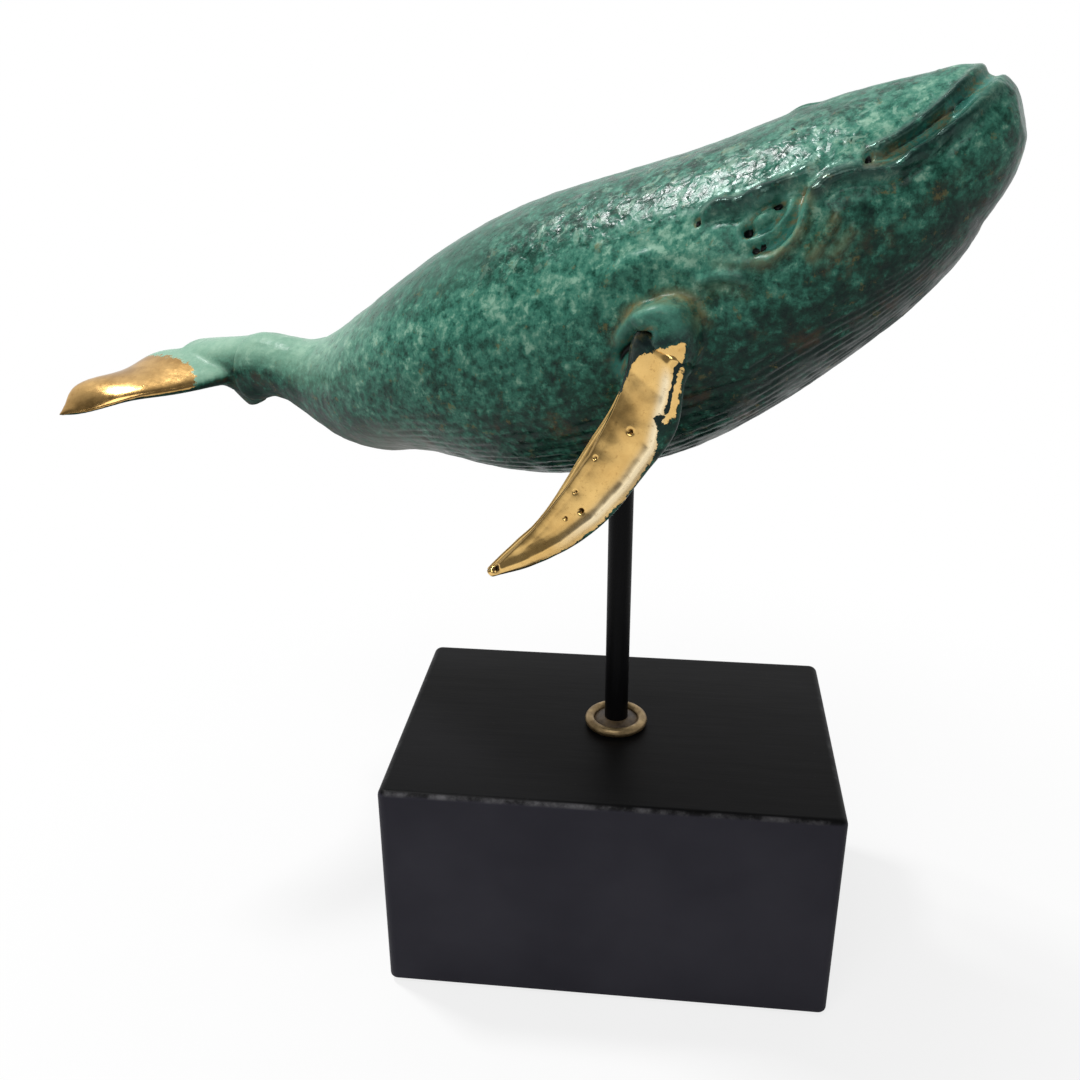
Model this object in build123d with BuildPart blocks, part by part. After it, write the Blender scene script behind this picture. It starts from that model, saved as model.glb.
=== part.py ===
import os
from math import cos, degrees, pi, radians, sin

from build123d import *

# Whale figurine: a hollow cast bronze humpback with separately cast flippers and tail flukes,
# carried on a steel rod that is clamped into a wooden block.
# Millimetres, Z up, X along the block. The origin is the middle of the felt under the block.

# Wooden block and the felt under it
block_length = 120.0
block_depth = 80.0
block_height = 62.5
block_corner_radius = 2.5
block_top_radius = 2.0
block_foot_radius = 0.8
felt_thickness = 1.5
felt_margin = 3.0
felt_corner_radius = 2.0

# Rod with its threaded foot, and what clamps it
rod_diameter = 6.5
rod_standing_length = 79.0
rod_bore_clearance = 0.1
thread_diameter = 6.0
thread_end_length = 2.0
nut_pocket_diameter = 24.0
nut_pocket_depth = 14.0
nut_across_flats = 10.0
nut_height = 5.0
washer_diameter = 18.0
washer_thickness = 1.6

# Ring on top of the block and the set glue in its cup
ring_diameter = 17.5
ring_bead_radius = 1.35
ring_plate_thickness = 1.1
glue_depth = 0.9
glue_climb = 1.4

# Socket brazed into the belly
socket_diameter = 11.0
socket_length = 22.0
socket_bore_depth = 15.0
socket_proud = 2.2
rod_end_gap = 0.5
solder_gap = 0.05

# Whale: how it stands on the rod, and the thickness of the casting
heading_angle = 20.0
nose_up_angle = 18.0
wall_thickness = 4.0
body_length = 213.8
girth_height = 66.4
girth_width = 67.0

# Throat folds and mouth line
pleats_per_side = 12
pleat_depth = 0.8
pleat_full_angle = 40.0
pleat_end_angle = 72.0
lip_step = 1.3
mouth_angle = 0.05

# Domes of the eyes and of the blowhole, and how far they stand out of the head
eye_radius = 5.0
eye_proud = 1.2
blowhole_radius = 9.0
blowhole_proud = 0.7

# Flippers
flipper_length = 62.0
flipper_width = 15.0
flipper_thickness = 6.0
flipper_droop_angle = 38.0
flipper_splay_angle = 19.0
flipper_peg_diameter = 4.0
flipper_peg_length = 8.0
root_width_share = 0.90
root_lead = 2.0
seat_rim = 0.3
shoulder_width = 21.0
shoulder_height = 17.0
shoulder_thickness = 9.0
shoulder_rake = 6.5
seat_standoff = 3.0

# Tail flukes
fluke_span = 82.0
fluke_chord = 29.0
fluke_thickness = 9.0
fluke_drop = 1.3
stock_lift = 4.5
fluke_droop = 16.0
fluke_roll_angle = 13.0
fluke_lift_angle = 7.0
fluke_peg_diameter = 7.0
fluke_peg_length = 10.0
peg_clearance = 0.05

os.makedirs("parts", exist_ok=True)

block_top = felt_thickness + block_height
pocket_ceiling = felt_thickness + nut_pocket_depth
belly_height = block_top + rod_standing_length
rod_radius = rod_diameter / 2
thread_radius = thread_diameter / 2
bore_radius = rod_radius + rod_bore_clearance

# Felt pad, die-cut and glued on, closing the nut pocket
with BuildPart() as felt_pad:
    with BuildSketch():
        RectangleRounded(block_length - 2 * felt_margin, block_depth - 2 * felt_margin, felt_corner_radius)
    extrude(amount=felt_thickness)

# Wooden block, bored for the rod and counterbored from below for the nut
with BuildPart() as base_block:
    with Locations((0, 0, felt_thickness)):
        Box(block_length, block_depth, block_height, align=(Align.CENTER, Align.CENTER, Align.MIN))
    fillet(base_block.edges().filter_by(Axis.Z), block_corner_radius)
    fillet(base_block.faces().sort_by(Axis.Z)[-1].edges(), block_top_radius)
    fillet(base_block.faces().sort_by(Axis.Z)[0].edges(), block_foot_radius)
    with Locations((0, 0, felt_thickness)):
        Cylinder(
            nut_pocket_diameter / 2,
            nut_pocket_depth,
            align=(Align.CENTER, Align.CENTER, Align.MIN),
            mode=Mode.SUBTRACT,
        )
        Cylinder(
            bore_radius,
            block_height,
            align=(Align.CENTER, Align.CENTER, Align.MIN),
            mode=Mode.SUBTRACT,
        )

# Washer against the ceiling of the pocket
with BuildPart() as rod_washer:
    with BuildSketch(Plane.XY.offset(pocket_ceiling - washer_thickness)):
        Circle(washer_diameter / 2)
        Circle(thread_radius + rod_bore_clearance, mode=Mode.SUBTRACT)
    extrude(amount=washer_thickness)

# Hexagon nut that pulls the ring down on the block
nut_top = pocket_ceiling - washer_thickness
with BuildPart() as rod_nut:
    with BuildSketch(Plane.XY.offset(nut_top - nut_height)):
        RegularPolygon(nut_across_flats / 2, 6, major_radius=False)
        Circle(thread_radius + solder_gap, mode=Mode.SUBTRACT)
    extrude(amount=nut_height)

# Turned ring, soldered to the rod as its shoulder: a thin plate inside a round bead
ring_radius = ring_diameter / 2
cup_radius = ring_radius - 2 * ring_bead_radius
with BuildPart() as rod_ring:
    with BuildSketch(Plane.XZ):
        with Locations((ring_radius - ring_bead_radius, block_top + ring_bead_radius)):
            Circle(ring_bead_radius)
        with Locations((rod_radius + solder_gap, block_top)):
            Rectangle(
                ring_radius - ring_bead_radius - rod_radius - solder_gap,
                ring_plate_thickness,
                align=(Align.MIN, Align.MIN),
            )
    revolve(axis=Axis.Z)

# Glue that has set in the cup of the ring and climbs the rod a little
glue_floor = block_top + ring_plate_thickness
glue_radius = cup_radius - solder_gap
with BuildPart() as glue_bead:
    with BuildSketch(Plane.XZ):
        with BuildLine():
            foot = Line((glue_radius, glue_floor), (rod_radius + solder_gap, glue_floor))
            inner = Line(foot @ 1, (rod_radius + solder_gap, glue_floor + glue_climb))
            outer = Line(foot @ 0, (glue_radius, glue_floor + glue_depth / 2))
            SagittaArc(inner @ 1, outer @ 1, glue_depth / 4)
        make_face()
    revolve(axis=Axis.Z)

# Steel rod: full size from the pocket up into the belly socket, turned down for the thread below
rod_top = belly_height - socket_proud + socket_bore_depth - rod_end_gap
thread_length = washer_thickness + nut_height + thread_end_length
with BuildPart() as support_rod:
    with Locations((0, 0, pocket_ceiling)):
        Cylinder(rod_radius, rod_top - pocket_ceiling, align=(Align.CENTER, Align.CENTER, Align.MIN))
        Cylinder(thread_radius, thread_length, align=(Align.CENTER, Align.CENTER, Align.MAX))

# Socket: a turned bush, bored blind from below, brazed upright through the belly wall
with BuildPart() as belly_socket:
    with Locations((0, 0, belly_height - socket_proud)):
        Cylinder(socket_diameter / 2, socket_length, align=(Align.CENTER, Align.CENTER, Align.MIN))
        Cylinder(
            rod_radius + solder_gap,
            socket_bore_depth,
            align=(Align.CENTER, Align.CENTER, Align.MIN),
            mode=Mode.SUBTRACT,
        )

# Whale frame: origin where the rod enters the belly, X along the pitched body axis toward the nose,
# Y to the whale's left, Z toward its back
heading = radians(heading_angle)
nose_up = radians(nose_up_angle)
whale_frame = Plane(
    origin=(0, 0, belly_height),
    x_dir=(cos(heading) * cos(nose_up), -sin(heading) * cos(nose_up), sin(nose_up)),
    z_dir=(-cos(heading) * sin(nose_up), sin(heading) * sin(nose_up), cos(nose_up)),
).location


def on_whale(plane, frame=whale_frame):
    """A plane given in the whale frame, or in another frame, put in its place in the room."""
    return Plane(frame * plane.location)


class Station:
    """One cross-section of the body, like a frame in a ship's lines.

    place and middle are shares of the body length and girth height; half and beam are shares of
    half the girth height and width. lean tips the section toward the tail, roof flattens the
    sides of the back, and pleat and lip say how much of the throat folds and mouth step show.
    """

    def __init__(self, place, middle, half, beam, lean=0, roof=2.0, pleat=0, lip=0, lip_height=0):
        tilt = radians(lean)
        self.plane = on_whale(
            Plane(
                origin=(place * body_length, 0, middle * girth_height),
                x_dir=(0, 1, 0),
                z_dir=(cos(tilt), 0, sin(tilt)),
            )
        )
        self.half = half * girth_height / 2
        self.beam = beam * girth_width / 2
        self.roof = roof
        self.pleat = pleat * pleat_depth
        self.lip = lip * lip_step
        self.lip_angle = pi / 2 - lip_height

    def outline(self, angle, grow=0.0):
        """Point of the outline, at an angle counted from the back round the left side to the belly."""
        across = sin(angle)
        along = cos(angle)
        power = 2 / self.roof if along > 0 else 1.0
        side = 1 if across > 0 else -1
        rise = 1 if along > 0 else -1
        return (
            side * (self.beam + grow) * abs(across) ** power,
            rise * (self.half + grow) * abs(along) ** power,
        )


# Stations from the tail joint to the jaws, then round the chin
stations = [
    Station(-0.506, 0.700, 0.300, 0.24, lean=-18),
    Station(-0.442, 0.652, 0.285, 0.28, lean=-10),
    Station(-0.376, 0.533, 0.437, 0.41, lean=-5),
    Station(-0.310, 0.500, 0.590, 0.60),
    Station(-0.226, 0.519, 0.717, 0.78, pleat=0.4),
    Station(-0.119, 0.510, 0.930, 0.93, pleat=0.8),
    Station(0.000, 0.505, 1.035, 1.00, pleat=1),
    Station(0.115, 0.520, 1.000, 1.00, pleat=1),
    Station(0.223, 0.575, 0.895, 0.95, roof=1.9, pleat=1),
    Station(0.316, 0.648, 0.785, 0.84, roof=1.7, pleat=1, lip=0.6, lip_height=0.46),
    Station(0.391, 0.712, 0.640, 0.66, roof=1.6, pleat=0.8, lip=1, lip_height=0.46),
    Station(0.442, 0.782, 0.480, 0.46, roof=1.6, pleat=0.5, lip=1, lip_height=0.62),
]
chin_stations = [
    stations[-1],
    Station(0.464, 0.805, 0.395, 0.38, roof=1.7, pleat=0.3, lip=0.6, lip_height=0.80),
    Station(0.482, 0.820, 0.285, 0.27, roof=1.8, pleat=0.1, lip=0.3, lip_height=0.95),
    Station(0.494, 0.830, 0.145, 0.13, lip_height=1.0),
]


def even_spline(points):
    """Smooth curve with its points evenly spaced in its parameter, so that all sections match."""
    spacing = [step / (len(points) - 1) for step in range(len(points))]
    return add(Edge.make_spline(points, parameters=spacing)).edge()


def body_section(station):
    """Closed outline: the back in one curve, a step at each lip, and the throat in rounded folds."""
    upper = station.lip_angle - mouth_angle
    lower = station.lip_angle + mouth_angle
    back_angles = [upper * (step - 5) / 5 for step in range(11)]
    fold = (pi - lower) / pleats_per_side
    throat = []
    for step in range(4 * pleats_per_side + 1):
        angle = lower + step * fold / 2
        from_keel = abs(180 - degrees(angle))
        share = (pleat_end_angle - from_keel) / (pleat_end_angle - pleat_full_angle)
        ripple = max(0.0, min(1.0, share)) * station.pleat / 2
        if step % 2 == 0:
            ripple = -ripple
        at_lip = step in (0, 4 * pleats_per_side)
        throat.append(station.outline(angle, station.lip if at_lip else ripple))
    with BuildSketch(station.plane) as section:
        with BuildLine():
            back = even_spline([station.outline(angle) for angle in back_angles])
            folds = even_spline(throat)
            Line(back @ 1, folds @ 0)
            Line(folds @ 1, back @ 0)
        make_face()
    return section.sketch


# Where the flippers, the eyes and the blowhole sit, as shares of the body length, width and height
seat_forward_share = 0.153
seat_up_share = 0.46
eye_forward_share = 0.276
eye_out_share = 0.403
eye_up_share = 0.762
blowhole_forward_share = 0.303
crown_share = 1.037

# Flipper frame: origin on the shoulder seat, X toward the leading edge, Y across the flat, Z to the tip
droop = radians(flipper_droop_angle)
splay = radians(flipper_splay_angle)
seat_forward = seat_forward_share * body_length
seat_out = girth_width / 2 + seat_standoff
seat_up = seat_up_share * girth_height


def shoulder_seat(side):
    """Plane of the seat on the right shoulder (side -1) or the left one (side 1)."""
    way = Vector(-cos(droop) * cos(splay), side * cos(droop) * sin(splay), -sin(droop))
    chord = way.cross(Vector(0, 1, 0))
    return on_whale(Plane(origin=(seat_forward, side * seat_out, seat_up), x_dir=chord, z_dir=way))


right_seat = shoulder_seat(-1)
left_seat = shoulder_seat(1)


def flipper_section(place, lead, width, thickness):
    """Oval across the right flipper; the shares are of its length, width and thickness."""
    with BuildSketch(right_seat.offset(place * flipper_length)) as section:
        with Locations((lead * flipper_width, 0)):
            Ellipse(width * flipper_width / 2, thickness * flipper_thickness / 2)
    return section.sketch


def shoulder_section(seat, place, rake, width, thickness):
    """Oval across a shoulder, above its seat, raked back from the root of the flipper."""
    with BuildSketch(seat.offset(-place * shoulder_height)) as section:
        with Locations((root_lead - rake * shoulder_rake, 0)):
            Ellipse(width / 2, thickness / 2)
    return section.sketch


# Right flipper: scythe shaped, cast on its own, with a peg that is set into the shoulder
with BuildPart() as right_flipper:
    loft(
        [
            flipper_section(0.00, root_lead / flipper_width, root_width_share, 1.00),
            flipper_section(0.10, 0.32, 1.00, 1.00),
            flipper_section(0.26, 0.49, 0.98, 0.95),
            flipper_section(0.42, 0.51, 0.93, 0.88),
            flipper_section(0.58, 0.53, 0.83, 0.80),
            flipper_section(0.72, 0.46, 0.66, 0.70),
            flipper_section(0.85, 0.30, 0.49, 0.58),
            flipper_section(0.94, 0.15, 0.32, 0.45),
            flipper_section(1.00, 0.03, 0.13, 0.28),
        ]
    )
    with BuildSketch(right_seat):
        with Locations((root_lead, 0)):
            Circle(flipper_peg_diameter / 2)
    extrude(amount=-flipper_peg_length)

# Left flipper: the same casting mirrored in the middle plane of the whale
whale_middle = on_whale(Plane.XZ)
with BuildPart() as left_flipper:
    mirror(right_flipper.part, about=whale_middle)

# Shoulder: as wide and thick as the root of the flipper at its seat, swelling into the flank above
shoulder_shape = [
    (0.00, 0.00, root_width_share * flipper_width + 2 * seat_rim, flipper_thickness + 2 * seat_rim),
    (0.35, 0.65, 0.86 * shoulder_width, 1.05 * shoulder_thickness),
    (0.70, 0.90, 0.66 * shoulder_width, 0.80 * shoulder_thickness),
    (0.90, 0.98, 0.38 * shoulder_width, 0.45 * shoulder_thickness),
    (1.00, 1.00, 0.14 * shoulder_width, 0.16 * shoulder_thickness),
]

# Whale body: lines lofted through the stations, shoulders added, then hollowed and drilled
with BuildPart() as whale_body:
    loft([body_section(station) for station in stations])
    loft([body_section(station) for station in chin_stations])
    for seat in (right_seat, left_seat):
        loft([shoulder_section(seat, *shape) for shape in shoulder_shape])
    # Shallow domes for the eyes and the blowhole
    eye_out = eye_out_share * girth_width - eye_radius + eye_proud
    dome_up = crown_share * girth_height - blowhole_radius + blowhole_proud
    for side in (-1, 1):
        eye_middle = (eye_forward_share * body_length, side * eye_out, eye_up_share * girth_height)
        with Locations(whale_frame * Location(eye_middle)):
            Sphere(eye_radius)
    with Locations(whale_frame * Location((blowhole_forward_share * body_length, 0, dome_up))):
        Sphere(blowhole_radius)
    # Core of the hollow casting
    for station in stations[3:12]:
        with BuildSketch(station.plane):
            Ellipse(station.beam - wall_thickness, station.half - wall_thickness)
    loft(mode=Mode.SUBTRACT)
    # Hole for the socket, upright through the belly wall
    with Locations((0, 0, belly_height)):
        Cylinder(socket_diameter / 2 + solder_gap, socket_length, mode=Mode.SUBTRACT)
    # Peg holes in both shoulders and in the tail stock
    with BuildSketch(right_seat, left_seat):
        with Locations((root_lead, 0)):
            Circle(flipper_peg_diameter / 2 + peg_clearance)
    extrude(amount=-flipper_peg_length - peg_clearance, mode=Mode.SUBTRACT)
    with BuildSketch(stations[0].plane):
        Circle(fluke_peg_diameter / 2 + peg_clearance)
    extrude(amount=fluke_peg_length + peg_clearance, mode=Mode.SUBTRACT)

# Fluke frame: on the tail joint, X to the rear, Y to the left, Z up, rolled a little to one side
tail = stations[0]
roll = radians(fluke_roll_angle)
fluke_frame = Plane(
    origin=tail.plane.origin,
    x_dir=-tail.plane.z_dir,
    z_dir=tail.plane.y_dir * cos(roll) + tail.plane.x_dir * sin(roll),
).location
lift = radians(fluke_lift_angle)


def fluke_section(side, rear, chord, thickness, droop_share):
    """Oval section along the fluke at a share of its half span; negative is the other lobe."""
    plane = on_whale(
        Plane(
            origin=(rear * fluke_chord, side * fluke_span / 2, -fluke_drop - droop_share * fluke_droop),
            x_dir=(cos(lift), 0, sin(lift)),
            z_dir=(0, 1, 0),
        ),
        fluke_frame,
    )
    with BuildSketch(plane) as section:
        Ellipse(chord * fluke_chord / 2, thickness * fluke_thickness / 2)
    return section.sketch


# Tail flukes: both lobes and the last of the tail stock in one casting, pegged to the body
lobe = [
    (0.24, 0.60, 1.00, 0.92, 0.04),
    (0.47, 0.71, 0.82, 0.68, 0.26),
    (0.70, 0.92, 0.70, 0.52, 0.45),
    (0.87, 1.08, 0.50, 0.37, 0.73),
    (0.97, 1.18, 0.28, 0.24, 0.93),
]
with BuildPart() as tail_fluke:
    loft(
        [fluke_section(-side, *shape) for side, *shape in reversed(lobe)]
        + [fluke_section(0, 0.52, 0.90, 1.00, 0)]
        + [fluke_section(side, *shape) for side, *shape in lobe]
    )
    for rear, beam, half in ((0, 1, 1), (0.3, 1.15, 0.72), (0.6, 1.1, 0.48), (0.8, 0.8, 0.3)):
        with BuildSketch(tail.plane.offset(-rear * fluke_chord)):
            with Locations((0, (1 - half) * stock_lift)):
                Ellipse(beam * tail.beam, half * tail.half)
    loft()
    with BuildSketch(tail.plane):
        Circle(fluke_peg_diameter / 2)
    extrude(amount=fluke_peg_length)

pieces = {
    "felt_pad": felt_pad,
    "base_block": base_block,
    "rod_washer": rod_washer,
    "rod_nut": rod_nut,
    "rod_ring": rod_ring,
    "glue_bead": glue_bead,
    "support_rod": support_rod,
    "belly_socket": belly_socket,
    "whale_body": whale_body,
    "right_flipper": right_flipper,
    "left_flipper": left_flipper,
    "tail_fluke": tail_fluke,
}
for name, piece in pieces.items():
    piece.part.label = name
    export_step(piece.part, f"parts/{name}.step")
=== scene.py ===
from math import cos, pi, radians, sin

import bmesh
import bpy
import numpy as np
from mathutils import Matrix, Vector, noise
from mathutils.bvhtree import BVHTree


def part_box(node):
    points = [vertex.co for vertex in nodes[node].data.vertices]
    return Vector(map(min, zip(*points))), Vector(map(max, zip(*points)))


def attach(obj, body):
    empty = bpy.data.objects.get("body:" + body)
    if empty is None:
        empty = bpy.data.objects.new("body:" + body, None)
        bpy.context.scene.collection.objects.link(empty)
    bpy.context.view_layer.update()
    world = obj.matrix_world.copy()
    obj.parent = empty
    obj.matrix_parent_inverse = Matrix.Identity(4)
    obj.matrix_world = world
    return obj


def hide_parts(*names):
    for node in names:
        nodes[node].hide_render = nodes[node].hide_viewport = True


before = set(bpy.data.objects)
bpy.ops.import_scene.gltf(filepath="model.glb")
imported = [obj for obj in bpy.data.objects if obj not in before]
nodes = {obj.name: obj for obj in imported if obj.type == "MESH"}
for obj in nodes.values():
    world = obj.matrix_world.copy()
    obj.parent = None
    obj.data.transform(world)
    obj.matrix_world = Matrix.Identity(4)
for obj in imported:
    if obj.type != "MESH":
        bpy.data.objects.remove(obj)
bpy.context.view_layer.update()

mm = 0.001


# Felt under the block: black pressed wool about 1.5 mm thick, die-cut with rounded corners
# and glued to the wood, so that it closes the nut pocket and spares the shelf.
def paint(red, green, blue):
    """Colour as a painter's chart gives it, 0 to 255, for a shader socket."""
    tones = [tone / 255 for tone in (red, green, blue)]
    return tuple(t / 12.92 if t < 0.04045 else ((t + 0.055) / 1.055) ** 2.4 for t in tones) + (1.0,)


def wire(tree, kind, inputs=None, **options):
    """Add a node, set its options, and fill its inputs with values or other nodes' outputs."""
    node = tree.nodes.new(kind)
    for option, value in options.items():
        setattr(node, option, value)
    for socket, value in (inputs or {}).items():
        if isinstance(value, bpy.types.NodeSocket):
            tree.links.new(value, node.inputs[socket])
        else:
            node.inputs[socket].default_value = value
    return node


def new_finish(name):
    """A node material, its tree, its surface shader and the place on the piece in metres."""
    finish = bpy.data.materials.new(name)
    finish.use_nodes = True
    tree = finish.node_tree
    place = wire(tree, "ShaderNodeTexCoord").outputs["Object"]
    return finish, tree, tree.nodes["Principled BSDF"], place


def speckle(tree, place, size, detail=4.0, roughness=0.6, distortion=0.0):
    """Cloudy noise whose blotches are about the given size across, in metres."""
    settings = {
        "Vector": place,
        "Scale": 0.6 / size,
        "Detail": detail,
        "Roughness": roughness,
        "Distortion": distortion,
    }
    return wire(tree, "ShaderNodeTexNoise", settings).outputs["Fac"]


def fade(tree, value, low, high):
    """0 below low, 1 above high; low may be the larger of the two."""
    settings = {"Value": value, "From Min": low, "From Max": high}
    curve = wire(tree, "ShaderNodeMapRange", settings, interpolation_type="SMOOTHSTEP")
    return curve.outputs["Result"]


def over(tree, amount, under, top):
    """One colour laid over another by an amount from 0 to 1."""
    return wire(tree, "ShaderNodeMix", {0: amount, 6: under, 7: top}, data_type="RGBA").outputs[2]


def dents(tree, shader, height, depth, strength=1.0, below=None):
    """Give the shader a relief of the given depth in metres, on top of a coarser one if there is any."""
    bump = wire(tree, "ShaderNodeBump", {"Height": height, "Distance": depth, "Strength": strength})
    if below is not None:
        tree.links.new(below, bump.inputs["Normal"])
    tree.links.new(bump.outputs["Normal"], shader.inputs["Normal"])
    return bump.outputs["Normal"]


def new_piece(name, points, faces, finish, slot, stands_for):
    """A smooth mesh piece that rides with the object and stands for a CAD piece."""
    mesh = bpy.data.meshes.new(name)
    mesh.from_pydata([tuple(point) for point in points], [], faces)
    shell = bmesh.new()
    shell.from_mesh(mesh)
    bmesh.ops.recalc_face_normals(shell, faces=shell.faces)
    shell.to_mesh(mesh)
    shell.free()
    mesh.polygons.foreach_set("use_smooth", [True] * len(mesh.polygons))
    mesh.materials.append(finish)
    piece = bpy.data.objects.new(name, mesh)
    bpy.context.scene.collection.objects.link(piece)
    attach(piece, "root")
    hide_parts(stands_for)
    return piece


felt_low, felt_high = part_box("felt_pad")
felt_corner = 2.0 * mm
felt_corner_steps = 8
felt_edge = 0.35 * mm
felt_finish, tree, shader, place = new_finish("black_felt")
fibres = speckle(tree, place, 0.5 * mm, detail=8.0, roughness=0.8)
felt_colour = over(tree, fade(tree, fibres, 0.35, 0.75), paint(22, 22, 24), paint(52, 51, 52))
tree.links.new(felt_colour, shader.inputs["Base Color"])
shader.inputs["Roughness"].default_value = 0.95
shader.inputs["Sheen Weight"].default_value = 0.4
dents(tree, shader, fibres, 0.2 * mm)


def felt_ring(inset, height):
    """Outline of the cut felt, drawn in a little at its upper and lower edge."""
    ring = []
    for corner, (side_x, side_y) in enumerate(((1, 1), (-1, 1), (-1, -1), (1, -1))):
        for step in range(felt_corner_steps + 1):
            turn = radians(90 * corner + 90 * step / felt_corner_steps)
            reach = felt_corner - inset
            ring.append(
                (
                    side_x * (felt_high[0] - felt_corner) + reach * cos(turn),
                    side_y * (felt_high[1] - felt_corner) + reach * sin(turn),
                    height,
                )
            )
    return ring


felt_levels = [
    (felt_edge, felt_low[2]),
    (0.0, felt_low[2] + felt_edge),
    (0.0, felt_high[2] - felt_edge),
    (felt_edge, felt_high[2]),
]
felt_points = [point for level in felt_levels for point in felt_ring(*level)]
ring_count = len(felt_ring(0.0, 0.0))
felt_faces = []
for level in range(len(felt_levels) - 1):
    for step in range(ring_count):
        here = level * ring_count + step
        beside = level * ring_count + (step + 1) % ring_count
        felt_faces.append((here, beside, beside + ring_count, here + ring_count))
felt_faces.append(tuple(reversed(range(ring_count))))
felt_faces.append(tuple(range(len(felt_points) - ring_count, len(felt_points))))
felt = new_piece("felt_sheet", felt_points, felt_faces, felt_finish, "felt", "felt_pad")

# Block: a solid piece of wood with eased edges, brushed with satin black paint. Handling has
# rubbed the paint grey along the upper edges, most of all at the front, where the thin pale line is also
# painted highlight on the eased edge.
def sums(tree, operation, first, second):
    """Arithmetic on two values."""
    return wire(tree, "ShaderNodeMath", {0: first, 1: second}, operation=operation).outputs[0]


def part_of(tree, value, amount):
    """A share of a value."""
    return sums(tree, "MULTIPLY", value, amount)


def axes_of(tree, vector):
    """The X, Y and Z of a place, a direction or a colour."""
    return wire(tree, "ShaderNodeSeparateXYZ", {"Vector": vector}).outputs


def between(tree, value, low, high, start=0.0, end=1.0):
    """A value that runs from start to end, stretched between two levels."""
    settings = {"Value": value, "From Min": start, "From Max": end, "To Min": low, "To Max": high}
    return wire(tree, "ShaderNodeMapRange", settings).outputs["Result"]


def drawn_out(tree, place, stretch, turn=(0.0, 0.0, 0.0)):
    """The place on a piece, stretched along an axis, for brush marks and streaks."""
    settings = {"Vector": place, "Rotation": turn, "Scale": stretch}
    return wire(tree, "ShaderNodeMapping", settings).outputs["Vector"]


def coat(finish, *names):
    """Put a finish on CAD pieces that show as they are."""
    for name in names:
        nodes[name].data.materials.clear()
        nodes[name].data.materials.append(finish)


block_low, block_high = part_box("base_block")
block_finish, tree, shader, place = new_finish("black_painted_wood")
axes = axes_of(tree, place)
from_top = sums(tree, "SUBTRACT", block_high[2], axes["Z"])
from_front = sums(tree, "SUBTRACT", axes["Y"], block_low[1])
from_left = sums(tree, "SUBTRACT", axes["X"], block_low[0])
from_right = sums(tree, "SUBTRACT", block_high[0], axes["X"])
from_back = sums(tree, "SUBTRACT", block_high[1], axes["Y"])
front_edge = sums(tree, "ADD", from_top, from_front)
left_edge = sums(tree, "ADD", from_top, from_left)
right_edge = sums(tree, "ADD", from_top, from_right)
side_edge = sums(tree, "MINIMUM", left_edge, right_edge)
rear_edge = sums(tree, "ADD", from_top, from_back)
scuffs = speckle(tree, place, 6 * mm, detail=6.0, roughness=0.7)
# The thin pale band along the front top edge: partly rubbed paint, partly painted highlight
front_band = fade(tree, front_edge, 1.5 * mm, 1.1 * mm)
front_wear_and_highlight = sums(tree, "MULTIPLY", front_band, fade(tree, scuffs, 0.40, 0.70))
other_edges = sums(tree, "MINIMUM", side_edge, rear_edge)
other_band = fade(tree, other_edges, 2.0 * mm, 1.2 * mm)
other_wear = sums(tree, "MULTIPLY", other_band, fade(tree, scuffs, 0.5, 0.75))
wear_and_edge_highlight = sums(tree, "MAXIMUM", front_wear_and_highlight, part_of(tree, other_wear, 0.45))
cloudy = fade(tree, speckle(tree, place, 30 * mm, detail=3.0), 0.3, 0.7)
# Sides painted lighter and the top darker by which way each face looks: painted light and shade
facing = axes_of(tree, wire(tree, "ShaderNodeNewGeometry").outputs["Normal"])
lit_side_coat = over(tree, cloudy, paint(54, 53, 61), paint(64, 63, 71))
shaded_top_coat = over(tree, cloudy, paint(13, 13, 14), paint(18, 18, 20))
painted = over(tree, fade(tree, facing["Z"], 0.3, 0.8), lit_side_coat, shaded_top_coat)
dust = fade(tree, speckle(tree, place, 0.9 * mm, detail=2.0), 0.74, 0.8)
dusty = over(tree, part_of(tree, dust, 0.12), painted, paint(90, 90, 90))
tree.links.new(over(tree, wear_and_edge_highlight, dusty, paint(104, 103, 106)), shader.inputs["Base Color"])
shader.inputs["Specular IOR Level"].default_value = 0.06
brush_marks = speckle(tree, drawn_out(tree, place, (0.12, 1.0, 1.0)), 1.6 * mm, detail=5.0)
tree.links.new(between(tree, brush_marks, 0.36, 0.50), shader.inputs["Roughness"])
dents(tree, shader, brush_marks, 0.06 * mm)
coat(block_finish, "base_block")

# Nut and washer: zinc-plated steel, hidden in the pocket under the block, where they pull the
# ring on the rod down against the top of the wood.
steel_finish, tree, shader, place = new_finish("zinc_plated_steel")
passivated = speckle(tree, place, 4 * mm, detail=5.0)
steel_colour = over(tree, fade(tree, passivated, 0.35, 0.65), paint(168, 168, 166), paint(196, 192, 176))
tree.links.new(steel_colour, shader.inputs["Base Color"])
shader.inputs["Metallic"].default_value = 1.0
shader.inputs["Roughness"].default_value = 0.38
dents(tree, shader, speckle(tree, place, 0.4 * mm), 0.02 * mm)
coat(steel_finish, "rod_nut", "rod_washer")

# Rod: a quarter-inch steel bar painted black, with the faint long streaks that a dipped coat
# keeps. Its turned-down foot goes through the block and its head into the belly.
rod_finish, tree, shader, place = new_finish("black_painted_rod")
streaks = speckle(tree, drawn_out(tree, place, (1.0, 1.0, 0.08)), 1.2 * mm, detail=5.0)
rod_colour = over(tree, fade(tree, streaks, 0.3, 0.7), paint(8, 8, 9), paint(16, 16, 18))
tree.links.new(rod_colour, shader.inputs["Base Color"])
shader.inputs["Specular IOR Level"].default_value = 0.08
shader.inputs["Roughness"].default_value = 0.42
dents(tree, shader, streaks, 0.04 * mm)
coat(rod_finish, "support_rod")

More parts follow.
